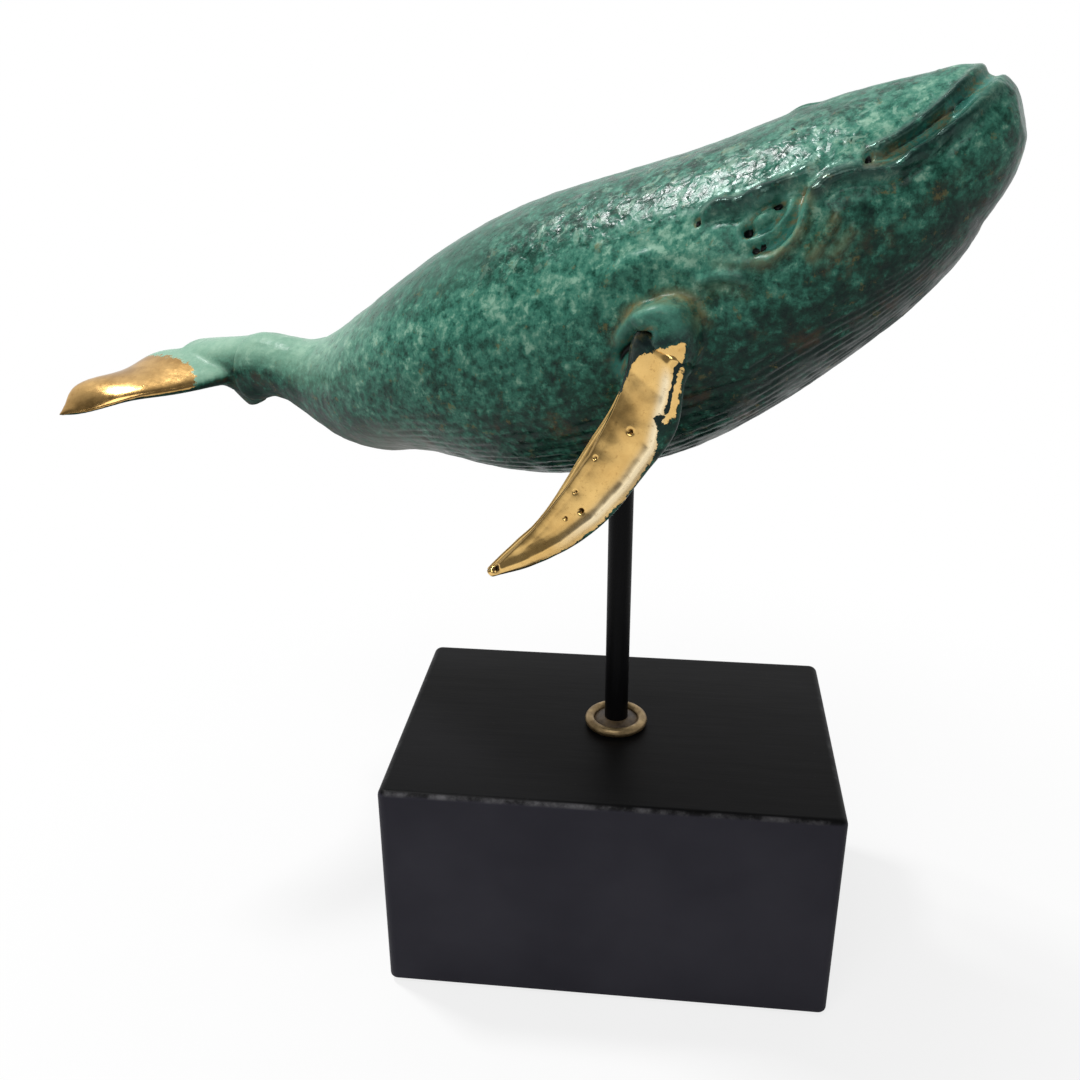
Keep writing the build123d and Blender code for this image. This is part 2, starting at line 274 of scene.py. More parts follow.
# Ring and belly socket: turned brass gone dull and brown, with darker tarnish lying in the
# tool marks and in the cup.
brass_finish, tree, shader, place = new_finish("dull_turned_brass")
tarnish = speckle(tree, place, 3 * mm, detail=7.0, roughness=0.7)
brass_colour = over(tree, fade(tree, tarnish, 0.35, 0.7), paint(176, 152, 112), paint(118, 98, 68))
tree.links.new(brass_colour, shader.inputs["Base Color"])
shader.inputs["Metallic"].default_value = 0.85
tree.links.new(between(tree, tarnish, 0.30, 0.55), shader.inputs["Roughness"])
tool_marks = speckle(tree, drawn_out(tree, place, (0.15, 0.15, 1.0)), 0.5 * mm)
dents(tree, shader, tool_marks, 0.04 * mm)
coat(brass_finish, "rod_ring", "belly_socket")

# Glue in the cup of the ring: poured in warm round the rod, where it has set brown, hard and
# uneven, and climbs the rod a little. There is dust in it.
glue_finish, tree, shader, place = new_finish("set_brown_glue")
lumps = speckle(tree, place, 2.5 * mm, detail=6.0)
glue_colour = over(tree, fade(tree, lumps, 0.35, 0.65), paint(58, 44, 30), paint(104, 86, 62))
tree.links.new(glue_colour, shader.inputs["Base Color"])
shader.inputs["Roughness"].default_value = 0.5
dents(tree, shader, lumps, 0.35 * mm)
coat(glue_finish, "glue_bead")

# Whale body: a hollow lost-wax bronze. The skin follows the casting and adds what was cut in the
# wax: mouth, eye, folds and throat pleats. At the tail it is filed over the brazed joint.
heading = radians(20)
nose_up = radians(18)
socket_proud = 2.2 * mm
forward = np.array([cos(heading) * cos(nose_up), -sin(heading) * cos(nose_up), sin(nose_up)])
leftward = np.array([sin(heading), cos(heading), 0.0])
upward = np.cross(forward, leftward)
belly = np.array([0.0, 0.0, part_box("belly_socket")[0][2] + socket_proud])

# Middle line of the body in side view, in millimetres from the belly: along, up, lean in degrees
middle_line = np.array(
    [
        (-110.5, 47.2, -18.0),
        (-108.2, 46.5, -18.0),
        (-94.5, 43.3, -10.0),
        (-80.4, 35.4, -5.0),
        (-66.3, 33.2, 0.0),
        (0.0, 33.5, 0.0),
        (47.7, 38.2, 0.0),
        (67.6, 43.0, 0.0),
        (83.6, 47.3, 0.0),
        (92.0, 51.5, 0.0),
    ]
)
tail_joint = middle_line[1]
rows_along = 250
rows_round_nose = 54
columns = 320
crowding = 0.12
girth_angles = np.arange(columns) * 2 * pi / columns
tail_end = middle_line[0, 0]
jaw_middle = middle_line[-1, 0]

# The rows stand closer together toward the head, and turn round the nose at the end
spread = np.linspace(0.0, 1.0, rows_along)
along = tail_end + (jaw_middle - tail_end) * (spread + crowding * np.sin(pi * spread))
rows = [(place, 0.0) for place in along]
rows += [(jaw_middle, tilt) for tilt in np.linspace(0.0, pi / 2, rows_round_nose + 1)[1:]]
centres = np.zeros((len(rows), 3))
rays = np.zeros((len(rows), columns, 3))
for row, (place, tilt) in enumerate(rows):
    middle = np.interp(place, middle_line[:, 0], middle_line[:, 1])
    lean = radians(np.interp(place, middle_line[:, 0], middle_line[:, 2]))
    ahead = forward * cos(lean) + upward * sin(lean)
    above = upward * cos(lean) - forward * sin(lean)
    across = np.outer(np.cos(girth_angles), above) + np.outer(np.sin(girth_angles), leftward)
    centres[row] = belly + mm * (place * forward + middle * upward)
    rays[row] = across * cos(tilt) + ahead * sin(tilt)


def hide_of(*names):
    """Search tree over the CAD surface of one or more pieces."""
    points = []
    faces = []
    for name in names:
        mesh = nodes[name].data
        faces += [tuple(len(points) + corner for corner in face.vertices) for face in mesh.polygons]
        points += [vertex.co.copy() for vertex in mesh.vertices]
    return BVHTree.FromPolygons(points, faces)


def wrap(hide, centres, rays, far_out):
    """How far out the surface lies from the middle of each row, found from outside inward."""
    reach = np.full(rays.shape[:2], np.nan)
    for row, column in np.ndindex(reach.shape):
        ray = Vector(rays[row, column])
        found = hide.ray_cast(Vector(centres[row]) + far_out * ray, -ray)
        if found[0] is not None:
            reach[row, column] = far_out - found[3]
    missed = np.isnan(reach)
    reach[missed] = np.interp(np.flatnonzero(missed), np.flatnonzero(~missed), reach[~missed])
    return reach


def softened(values, passes, along_too=True):
    """Even out neighbouring points, round the girth and, if asked, along the piece."""
    for _ in range(passes):
        values = (np.roll(values, 1, 1) + 2 * values + np.roll(values, -1, 1)) / 4
        if along_too:
            inner = (values[:-2] + 2 * values[1:-1] + values[2:]) / 4
            values = np.vstack([values[:1], inner, values[-1:]])
    return values


def grid_normals(points, rays):
    """Outward normals of a grid of points that closes on itself round the girth."""
    round_way = np.roll(points, -1, 1) - np.roll(points, 1, 1)
    along_way = np.gradient(points, axis=0)
    normals = np.cross(round_way, along_way)
    normals *= np.sign(np.sum(normals * rays, axis=2, keepdims=True))
    return normals / np.maximum(np.linalg.norm(normals, axis=2, keepdims=True), 1e-12)


def grid_shell(points):
    """Points and faces of such a grid, closed with one point at either end."""
    row_count, column_count = points.shape[:2]
    shell = list(points.reshape(-1, 3)) + [points[0].mean(axis=0), points[-1].mean(axis=0)]
    start_tip = row_count * column_count
    last_ring = start_tip - column_count
    faces = []
    for column in range(column_count):
        beside = (column + 1) % column_count
        for ring in range(0, last_ring, column_count):
            next_ring = ring + column_count
            faces.append((ring + column, ring + beside, next_ring + beside, next_ring + column))
        faces.append((beside, column, start_tip))
        faces.append((last_ring + column, last_ring + beside, start_tip + 1))
    return shell, faces


def with_ends(values):
    """Values of a grid in the order of its closed shell."""
    return np.append(values.ravel(), [values[0].mean(), values[-1].mean()])


search_from = 120 * mm
reach = wrap(hide_of("whale_body", "tail_fluke"), centres, rays, search_from)
reach = softened(reach, passes=3)
row_place = np.array([place for place, tilt in rows])[:, None]
row_middle = np.interp(row_place, middle_line[:, 0], middle_line[:, 1])
upright_row = np.array([tilt == 0.0 for place, tilt in rows])

# Each shoulder keeps its swell inside the arch over the flipper; outside it the flank runs through
shoulder_place = 29
from_shoulder = np.abs(row_place[:, 0] - shoulder_place)
beside_shoulder = upright_row & (from_shoulder > 27) & (from_shoulder < 50)
flank_curve = np.polyfit(row_place[beside_shoulder, 0], reach[beside_shoulder], deg=4)
flank = np.vander(row_place[:, 0], len(flank_curve)) @ flank_curve
arch_u, arch_v = 32.5, 31.0
arch_turns = [-90, -30, 0, 20, 40, 58, 85, 135, 155, 180, 225, 270]
arch_radii = [12.0, 11.0, 8.0, 8.4, 9.1, 8.8, 7.4, 7.6, 8.5, 9.5, 12.0, 12.0]
arch_softness = 3.5
over_arch = row_middle + reach / mm * np.cos(girth_angles) - arch_v
ahead_of_arch = np.broadcast_to(row_place - arch_u, reach.shape)
from_arch = np.hypot(ahead_of_arch, over_arch)
arch_turn = np.degrees(np.arctan2(over_arch, ahead_of_arch))
arch_edge = np.interp(arch_turn, arch_turns, arch_radii, period=360)
past_arch = np.clip((from_arch - arch_edge) / arch_softness, 0, 1)
levelled = past_arch**2 * (3 - 2 * past_arch) * np.clip((20 - from_arch) / 5, 0, 1)
reach += upright_row[:, None] * levelled * (flank - reach)

# The coarse folds of the casting's throat give way to the fine ones that are cut below, and the
# last rows sink into the flukes
from_keel = np.abs(180 - np.degrees(girth_angles))[None, :]
shoulder_back, shoulder_front = 8, 56
shoulder_row = np.clip((row_place - shoulder_back) / 6, 0, 1)
shoulder_row = shoulder_row * np.clip((shoulder_front - row_place) / 6, 0, 1)
throat_share = np.clip((88 - 28 * shoulder_row - from_keel) / 10, 0, 1)
reach += throat_share * (softened(reach, passes=45, along_too=False) - reach)
reach += mm * np.interp(row_place, [-110.5, -109.7, -108.2, -103.0], [-0.8, 0.1, 0.15, 0.0])
skin = centres[:, None, :] + rays * reach[:, :, None]
normals = grid_normals(skin, rays)

# Places on the skin in millimetres from the belly, the relief in millimetres that the wax gets,
# and what each place is: hollow, with painted shade in the deepest, ridge, ochre with silt, pale, or
# covered in flakes that are partly painted highlight
from_belly = (skin - belly) / mm
place_u = from_belly @ forward
place_v = from_belly @ upward
place_w = from_belly @ leftward
relief, hollow, ridge, ochre, pale, flaky = np.zeros((6, *place_u.shape))


def bell(distance, width, steep=2):
    """1 on a line, falling to 0 on both sides of it."""
    return np.exp(-((distance / width) ** steep))


def smooth_path(points, steps=10):
    """Points along a smooth curve through a few given ones."""
    points = np.array(points, dtype=float)
    ends = np.vstack([2 * points[0] - points[1], points, 2 * points[-1] - points[-2]])
    path = []
    for before, start, end, after in zip(ends, ends[1:], ends[2:], ends[3:]):
        for t in np.arange(steps) / steps:
            bend = (2 * before - 5 * start + 4 * end - after) * t**2
            twist = (3 * start - before - 3 * end + after) * t**3
            path.append((2 * start + (end - before) * t + bend + twist) / 2)
    return np.array(path + [points[-1]])


def carve(points, height, width, layer=None, amount=1.0, start_fade=0.15, end_fade=0.15, steep=2):
    """Raise a ridge, or cut a groove, along a curve in side view on both flanks."""
    path = smooth_path(points)
    nearest = np.full(place_u.shape, 1e9)
    share = np.zeros(place_u.shape)
    for count, (u, v) in enumerate(path):
        distance = np.hypot(place_u - u, place_v - v)
        closer = distance < nearest
        nearest[closer] = distance[closer]
        share[closer] = count / (len(path) - 1)
    form = bell(nearest, width, steep)
    form *= np.clip(share / start_fade, 0, 1) * np.clip((1 - share) / end_fade, 0, 1)
    relief[...] += height * form
    if layer is not None:
        layer[...] = np.maximum(layer, amount * np.sqrt(form))


def moved(points, ahead, up):
    """The same curve moved in side view."""
    return [(u + ahead, v + up) for u, v in points]


sudden = 1e-6
mouth_floor = [
    (78.0, 55.3), (82.7, 54.9), (86.6, 55.8), (90.6, 57.2), (95.3, 59.5), (99.3, 62.5), (104.0, 66.0),
]
upper_jaw = [
    (79.0, 56.9), (84.0, 57.6), (88.0, 58.9), (91.8, 60.6), (95.4, 62.7), (98.5, 65.1), (101.0, 67.3),
]
lower_jaw = [
    (68.8, 51.4), (71.9, 53.6), (75.6, 54.0), (80.0, 53.2), (83.8, 52.5),
    (87.7, 53.8), (92.2, 55.3), (96.9, 57.5), (101.4, 60.4), (104.5, 62.6),
]
curl_valley = [
    (67.9, 54.7), (66.4, 51.9), (65.1, 48.9), (63.3, 46.6), (60.9, 45.2), (57.9, 44.2), (52.3, 45.2),
]
curl_rim = [
    (69.0, 53.8), (67.4, 50.4), (65.8, 46.6), (63.2, 44.0), (60.1, 42.6), (56.3, 42.1), (46.1, 45.0),
]
under_curl = [(69.4, 50.0), (68.0, 46.0), (65.0, 41.8), (58.4, 40.0), (50.9, 41.0)]
brow = [
    (45.0, 53.4), (49.6, 54.9), (53.6, 54.2), (58.1, 54.8), (61.9, 55.2), (66.0, 56.2), (71.0, 57.6),
]
front_wrinkle = [(73.6, 47.9), (71.6, 45.0), (68.5, 42.0), (65.5, 39.4)]
next_wrinkle = [(76.2, 44.6), (73.2, 41.5), (69.8, 38.9)]
cheek_fold = [(42.6, 41.0), (46.8, 41.8), (50.6, 40.9), (54.4, 38.6)]
arch = [
    (23.6, 31.6), (24.8, 34.6), (27.6, 36.8), (33.2, 38.4),
    (37.1, 38.3), (39.4, 36.6), (40.2, 33.9), (39.5, 31.1),
]
round_arch = [
    (21.8, 32.6), (23.6, 36.4), (26.6, 38.8), (32.1, 40.4),
    (37.2, 40.6), (41.4, 38.6), (43.0, 35.0), (42.9, 31.0),
]
arch_hollow = [
    (36.6, 34.5), (33.3, 34.2), (29.5, 33.4), (26.1, 32.1), (22.9, 30.4), (21.4, 28.2), (20.6, 25.0),
]
carve(mouth_floor, -1.1, 1.5, hollow, amount=0.62, start_fade=0.06, end_fade=sudden, steep=4)
carve(upper_jaw, 1.1, 0.9, ridge, start_fade=0.1, end_fade=0.3)
# A thin black groove under the upper jaw: painted shadow in the gap of the mouth
carve(moved(upper_jaw, 0.6, -1.2), -0.7, 0.45, hollow, amount=1.1, start_fade=0.1, end_fade=0.3)
carve(lower_jaw, 1.7, 1.4, ridge, start_fade=0.03, end_fade=0.3)
carve(moved(lower_jaw, 0.3, -2.4), -0.5, 1.2)
carve(curl_valley, -1.3, 1.1, hollow, amount=0.75, start_fade=0.08, end_fade=0.3)
carve(curl_rim, 1.3, 1.0, ochre, amount=0.7, start_fade=0.05, end_fade=0.3)
carve(moved(curl_rim, -0.9, 0.5), 0.0, 0.8, pale, start_fade=0.05, end_fade=0.3)
carve(under_curl, -1.1, 1.4, start_fade=0.1, end_fade=0.4)
carve(brow, 1.9, 1.3, ridge, start_fade=0.15, end_fade=0.3)
carve(moved(brow, 0.4, -2.3), -0.9, 1.2, start_fade=0.2, end_fade=0.4)
carve(front_wrinkle, 0.9, 1.1, ochre, amount=0.7)
carve(moved(front_wrinkle, 1.6, -0.6), -0.6, 1.0, hollow, amount=0.3)
carve(next_wrinkle, 0.7, 1.1, ochre, amount=0.5)
carve(moved(next_wrinkle, 1.6, -0.6), -0.5, 1.0, hollow, amount=0.3)
carve(cheek_fold, 1.2, 1.2, pale, amount=0.6)
carve(moved(cheek_fold, 0.0, -2.3), -0.8, 1.2, ochre, amount=0.3)
carve(arch, 0.6, 1.3, pale, start_fade=0.1, end_fade=0.1)
carve(round_arch, -0.3, 0.9, ochre, amount=0.9)
# The hollow behind the arch turns black where it is deepest: painted shade
carve(arch_hollow, -2.4, 1.4, hollow, amount=1.2, start_fade=0.2, end_fade=0.3)

# Bands where the patina lies in thick flakes: along the upper flank, over the brow, to the crown
# of the jaw. They follow the highlight of the lamp, and their pale flakes are partly painted highlight
flake_and_sheen_band = [
    (-12.0, 54.0), (4.2, 58.2), (19.2, 60.6), (33.5, 61.6), (54.1, 61.0), (77.9, 61.4), (92.0, 64.0),
]
lower_flake_and_sheen_band = [(8.0, 54.0), (20.0, 56.4), (32.0, 56.4), (44.0, 55.0)]
carve(flake_and_sheen_band, 0.0, 4.6, flaky, end_fade=0.1)
carve(lower_flake_and_sheen_band, 0.0, 3.2, flaky, amount=0.6, start_fade=0.3)

# Eye: an almond dome in a socket under the brow, with a lid round it
eye_u, eye_v = 59.0, 50.3
eye_half_length, eye_half_height = 3.4, 1.8
eye_tilt = radians(21)
lid_at = 1.65
ahead_of_eye = place_u - eye_u
above_eye = place_v - eye_v
eye_x = (ahead_of_eye * cos(eye_tilt) + above_eye * sin(eye_tilt)) / eye_half_length
eye_y = (above_eye * cos(eye_tilt) - ahead_of_eye * sin(eye_tilt)) / eye_half_height
eye_round = np.hypot(eye_x, eye_y)
eyeball = np.clip(1 - eye_round**2, 0, 1)
relief += 1.5 * np.sqrt(eyeball) - 1.6 * bell(eye_round, 1.45, steep=4)
relief += 0.5 * bell(eye_round - lid_at, 0.22)
pale = np.maximum(pale, 0.7 * eyeball)
pale = np.maximum(pale, 0.9 * bell(eye_round - lid_at, 0.25))
hollow = np.maximum(hollow, 0.8 * bell(eye_round - 1.22, 0.2))


def drill(u, v, size, depth):
    """A round pit in both flanks, painted black as shade."""
    pit = bell(np.hypot(place_u - u, place_v - v), size, steep=4)
    relief[...] -= depth * pit
    hollow[...] = np.maximum(hollow, 1.6 * pit)


for u, v, size, depth in (
    (55.2, 48.6, 1.2, 1.8),
    (62.6, 52.2, 0.9, 1.4),
    (56.2, 44.7, 0.9, 1.3),
    (57.8, 45.0, 0.9, 1.3),
    (45.2, 53.0, 0.8, 1.2),
    (79.6, 56.1, 0.8, 1.4),
):
    drill(u, v, size, depth)

# Throat pleats: grooves from the chin to the navel that draw together toward the chin, uneven
# as hand-cut ones are
pleats_per_side = 17
pleated_angle = 92.0
pleat_depth = 0.5
middle_here = np.interp(place_u, middle_line[:, 0], middle_line[:, 1])
keel_angle = np.degrees(np.arctan2(np.abs(place_w), middle_here - place_v))
drawn_in = keel_angle / np.interp(place_u, [28, 46, 67, 82, 100], [1.0, 0.94, 0.86, 0.72, 0.55])


def clouds_at(points, scale, octaves):
    """Smooth noise, about -1 to 1, at each point of a grid; scale is in turns to the metre."""
    values = np.zeros(points.shape[:-1])
    for spot in np.ndindex(values.shape):
        values[spot] = noise.fractal(Vector(points[spot]) * scale, 0.8, 2.0, octaves)
    return values


waver = clouds_at(skin, 60.0, 1)
grain = clouds_at(skin, 170.0, 4)
pleat_count = drawn_in * pleats_per_side / pleated_angle + 0.3 * waver
in_groove = np.abs(pleat_count - np.round(pleat_count))
pleat_reach = np.interp(drawn_in, [0, 50, 78, 98], [1.0, 1.0, 0.5, 0.0])
pleat_reach *= np.interp(place_u, [-66, -40, -5, 72, 94], [0.0, 0.7, 1.0, 0.8, 0.0])
pleat_reach *= np.clip(0.65 + 1.6 * grain, 0.1, 1)
pleat_cut = pleat_reach * bell(in_groove, 0.2)
relief -= pleat_depth * pleat_cut

# Blowhole slits on the crown, navel under the tail, and the casting's own unevenness
on_back = place_v > 50
slits = bell(np.abs(place_w) - 1.5, 0.6) * bell(place_u - 65.0, 3.0) * on_back
relief -= 0.7 * slits
hollow = np.maximum(hollow, 0.7 * slits)
navel = bell(place_u + 66.0, 5.0) * bell(place_w, 7.0) * ~on_back
relief += 0.5 * navel
relief -= 1.5 * bell(place_u + 60.0, 17.0) * np.clip((75 - keel_angle) / 40, 0, 1)
relief += 0.15 * waver + 0.14 * grain
relief *= np.clip((row_place + 107) / 6, 0.1, 1)

# Where a flipper sits on the body, in millimetres from the belly: along, out and up
body_length = 213.8
girth_height = 66.4
seat_place = (0.153 * body_length, 36.5, 0.46 * girth_height)
droop = radians(38)
splay = radians(19)


def flipper_axes(side):
    """Seat of a flipper and its directions: to the tip, to the leading edge, and outward."""
    rearward = -cos(droop) * cos(splay) * forward
    sideways = side * cos(droop) * sin(splay) * leftward
    tipward = rearward + sideways - sin(droop) * upward
    leading = np.cross(tipward, leftward)
    leading /= np.linalg.norm(leading)
    seat_along, seat_out, seat_up = seat_place
    from_rod = seat_along * forward + side * seat_out * leftward + seat_up * upward
    seat = belly + mm * from_rod
    return seat, tipward, leading, side * np.cross(leading, tipward)


def below_gold_line(down, lead):
    """How far a point of a flipper's root lies below the slanting line where the grinding starts."""
    return down + 1.3 * lead - 0.4


def past(distance, softness):
    """0 before a line and 1 past it, with half at the line and a soft edge."""
    return 0.5 + 0.5 * np.clip(distance / softness, -1, 1)


gold_line_softness = 2.5
bare_root = np.zeros(place_u.shape)
for side in (-1, 1):
    seat, *axes = flipper_axes(side)
    down, lead, out = [(skin - seat) @ axis / mm for axis in axes]
    on_root = np.clip((out - 1.0) / 1.5, 0, 1) * np.clip((11 - from_arch) / 2, 0, 1)
    ground = below_gold_line(down, lead)
    behind_edge = past(7.8 + 0.55 * down - lead, 1.2)
    bright = np.minimum(past(ground, gold_line_softness), behind_edge)
    bare_root = np.maximum(bare_root, on_root * bright)
    ridge = np.maximum(ridge, on_root * bell(ground + 1.6, 2.2))
    ridge = np.maximum(ridge, on_root * (1 - behind_edge))
skin = skin + normals * (relief * mm)[:, :, None]
skin[-1] = skin[-1].mean(axis=0)


def note(piece, name, values):
    """Keep a value per point of a piece for its finish to read."""
    layer = piece.data.attributes.new(name, "FLOAT", "POINT")
    layer.data.foreach_set("value", np.asarray(values, dtype=np.float32).ravel())


def read_note(tree, name):
    """The value that note() kept, in a finish."""
    return wire(tree, "ShaderNodeAttribute", attribute_name=name).outputs["Fac"]


def shifted(tree, value, noise_value, amount):
    """A value pushed up and down by a cloudy noise."""
    swing = sums(tree, "MULTIPLY", sums(tree, "SUBTRACT", noise_value, 0.5), amount)
    return sums(tree, "ADD", value, swing)


patina_scale = (
    (0.0, paint(14, 44, 38)),
    (0.25, paint(26, 66, 54)),
    (0.45, paint(44, 98, 82)),
    (0.65, paint(66, 132, 112)),
    (0.82, paint(98, 152, 130)),
    (1.0, paint(140, 184, 160)),
)
crumb_brown = paint(126, 116, 70)
rust_brown = paint(104, 70, 46)
flake_and_sheen_pale = paint(158, 194, 172)
belly_grey = paint(120, 124, 112)
crown_green = paint(62, 108, 91)
fold_green = paint(92, 154, 136)
silt_ochre = paint(132, 110, 66)
pit_shade_black = paint(9, 12, 11)
ridge_black = paint(30, 42, 44)
# Pale gold for the roll of the leading edge: painted highlight
highlight_gold = paint(255, 240, 204)
scratch_brown = paint(150, 108, 52)
recess_shade_brown = paint(46, 32, 16)
pit_spacing = 9 * mm


def bronze_finish(name, bright=paint(236, 196, 124), stained=paint(220, 178, 108)):
    """Cast bronze: green patina, dark where rubbed, and bright metal where the patina is ground off."""
    finish, tree, shader, place = new_finish(name)

    def laid(under, where, amount, colour):
        """A colour laid over another, as thick as a value and an amount say."""
        return over(tree, part_of(tree, where, amount), under, colour)

    # Green patina in six tones, from the deep flank to the pale back, with brown and pale spots
    clouds = speckle(tree, place, 22 * mm, detail=3.0)
    mottle = speckle(tree, place, 4.0 * mm, detail=8.0, roughness=0.76, distortion=0.3)
    flecks = speckle(tree, place, 1.3 * mm, detail=5.0, roughness=0.65)
    tone = read_note(tree, "tone")
    level = shifted(tree, tone, clouds, 0.35)
    level = shifted(tree, level, mottle, 1.55)
    level = shifted(tree, level, flecks, 1.6)
    specks = fade(tree, speckle(tree, place, 1.9 * mm, detail=7.0, roughness=0.7), 0.52, 0.68)
    level = sums(tree, "ADD", level, part_of(tree, specks, 0.34))
    patina = wire(tree, "ShaderNodeValToRGB", {"Fac": level})
    stops = patina.color_ramp.elements
    stops[0].color = patina_scale[0][1]
    stops[1].color = patina_scale[-1][1]
    for position, colour in patina_scale[1:-1]:
        stops.new(position).color = colour
    crumbs = fade(tree, speckle(tree, place, 2.4 * mm, detail=8.0, roughness=0.75), 0.58, 0.66)
    green = laid(patina.outputs["Color"], crumbs, 0.6, crumb_brown)
    rust = fade(tree, speckle(tree, place, 6 * mm, detail=7.0, roughness=0.7), 0.54, 0.72)
    rust = sums(tree, "MULTIPLY", rust, fade(tree, tone, 0.44, 0.30))
    green = laid(green, rust, 0.5, rust_brown)
    # Pale flakes in the bands: partly real flakes of patina, partly painted highlight
    flake_clouds = speckle(tree, place, 2.4 * mm, detail=6.0, roughness=0.7, distortion=0.8)
    flaky = read_note(tree, "flaky")
    pale_flakes_and_sheen = sums(tree, "MULTIPLY", fade(tree, flake_clouds, 0.54, 0.60), flaky)
    green = laid(green, pale_flakes_and_sheen, 0.5, flake_and_sheen_pale)

    # What handling and time did: the tail rubbed pale, silt in the folds, dark ridges and patina in the
    # hollows; the deepest hollows are painted black as shade
    green = laid(green, read_note(tree, "grey"), 0.8, belly_grey)
    green = laid(green, read_note(tree, "crown"), 0.6, crown_green)
    rubbed_pale = over(tree, fade(tree, mottle, 0.35, 0.65), paint(132, 176, 152), paint(152, 190, 166))
    green = laid(green, read_note(tree, "worn"), 0.92, rubbed_pale)
    green = laid(green, read_note(tree, "pale"), 0.55, fold_green)
    silt = sums(tree, "MULTIPLY", read_note(tree, "ochre"), fade(tree, mottle, 0.36, 0.56))
    green = laid(green, silt, 0.75, silt_ochre)
    recess_and_shade = read_note(tree, "hollow")
    settled = over(tree, fade(tree, mottle, 0.46, 0.60), paint(62, 138, 124), paint(134, 112, 68))
    green = laid(green, fade(tree, recess_and_shade, 0.2, 0.7), 0.75, settled)
    # Black where the hollows are deepest, in the mouth gap and in the pits: painted shade
    green = over(tree, fade(tree, recess_and_shade, 0.85, 1.15), green, pit_shade_black)
    rubbed = sums(tree, "MULTIPLY", read_note(tree, "ridge"), fade(tree, flecks, 0.32, 0.50))
    green = laid(green, rubbed, 0.85, ridge_black)

    # Small pits painted black as shade, in about two cells out of five
    jitter = wire(tree, "ShaderNodeTexNoise", {"Vector": place, "Scale": 900.0}).outputs["Color"]
    shove = {0: jitter, 1: (1.2 * mm,) * 3, 2: place}
    uneven = wire(tree, "ShaderNodeVectorMath", shove, operation="MULTIPLY_ADD").outputs["Vector"]
    spacing = {"Vector": uneven, "Scale": 1 / pit_spacing}
    cells = wire(tree, "ShaderNodeTexVoronoi", spacing).outputs
    kept = fade(tree, axes_of(tree, cells["Color"])["X"], 0.55, 0.60)
    pits = sums(tree, "MULTIPLY", fade(tree, cells["Distance"], 0.062, 0.040), kept)
    green = over(tree, pits, green, pit_shade_black)

    # Bright metal with stains and fine scratches, chipped along its border with the patina
    chips = speckle(tree, place, 1.5 * mm, detail=8.0, roughness=0.8, distortion=0.4)
    bare = fade(tree, shifted(tree, read_note(tree, "bare"), chips, 1.2), 0.48, 0.53)
    stain = speckle(tree, place, 7 * mm, detail=6.0)
    metal = over(tree, fade(tree, stain, 0.38, 0.68), bright, stained)
    # A pale band along the roll of the leading edge: painted highlight
    metal = laid(metal, read_note(tree, "roll_highlight"), 0.8, highlight_gold)
    scratches = drawn_out(tree, place, (1.0, 0.12, 1.0), turn=(0.4, 0.6, 0.9))
    scored = fade(tree, speckle(tree, scratches, 0.5 * mm, detail=3.0), 0.55, 0.75)
    metal = laid(metal, scored, 0.35, scratch_brown)
    # Dark brown in the pits and along the step line of the bright metal: painted shade
    metal = laid(metal, recess_and_shade, 0.9, recess_shade_brown)
    tree.links.new(over(tree, bare, green, metal), shader.inputs["Base Color"])
    metal_share = sums(tree, "MAXIMUM", bare, part_of(tree, rubbed, 0.25))
    tree.links.new(metal_share, shader.inputs["Metallic"])

    # Waxed patina, glossier where rubbed and on the flakes, next to polished metal
    shader.inputs["Specular IOR Level"].default_value = 0.17
    fleck_low, fleck_high = 0.3, 0.7
    waxed = between(tree, flecks, 0.24, 0.42, fleck_low, fleck_high)
    waxed = sums(tree, "SUBTRACT", waxed, part_of(tree, rubbed, 0.14))
    waxed = sums(tree, "SUBTRACT", waxed, part_of(tree, flaky, 0.06))
    waxed = sums(tree, "ADD", waxed, part_of(tree, read_note(tree, "dull"), 0.45))
    polished = between(tree, flecks, 0.12, 0.24, fleck_low, fleck_high)
    gloss = wire(tree, "ShaderNodeMix", {0: bare, 2: waxed, 3: polished}, data_type="FLOAT").outputs[0]
    tree.links.new(gloss, shader.inputs["Roughness"])

    # Relief too fine for the mesh: swells of the wax, scales of the patina, flecks, and the pits
    smoothed = between(tree, bare, 0.9, 0.12)
    swells = speckle(tree, place, 4.5 * mm, detail=2.0, roughness=0.5)
    scales = speckle(tree, place, 1.2 * mm, detail=1.5, roughness=0.5, distortion=0.5)
    crusted = sums(tree, "MULTIPLY", sums(tree, "ADD", 0.5, flaky), smoothed)
    coarse = dents(tree, shader, swells, 0.5 * mm, strength=smoothed)
    coarse = dents(tree, shader, scales, 0.24 * mm, strength=crusted, below=coarse)
    fine = dents(tree, shader, flecks, 0.08 * mm, strength=smoothed, below=coarse)
    dents(tree, shader, sums(tree, "SUBTRACT", 1.0, pits), 0.3 * mm, strength=smoothed, below=fine)
    return finish


def stock_wear_and_shade(outward):
    """Tone of the tail stock: rubbed pale on top, and darker underneath as painted shade."""
    return 0.36 + 0.34 * np.clip(1.7 * (outward @ upward), -1, 1)


def dull_share(outward):
    """How far the wax was left off: on what faces down."""
    return np.clip(-1.5 * (outward @ upward), 0, 1)


def worn_share(outward):
    """How far hands have rubbed the tail pale: on top, and not underneath."""
    return np.clip(1.6 * (outward @ upward) - 0.05, 0, 1)


back_share = np.clip((place_v - middle_here) / 24.0, -1, 1)
tail_share = np.interp(place_u, [-108, -85, -62, -40], [1.0, 0.8, 0.3, 0.0])
tone = 0.52 + 0.23 * back_share - 0.34 * np.clip(2.5 * back_share - 1.5, 0, 1)
throat_dark = np.interp(place_u, [-20, 30, 70], [0.0, 0.6, 1.0]) * np.clip(0.25 - back_share, 0, 1)
tone -= 0.24 * throat_dark + 0.28 * pleat_cut
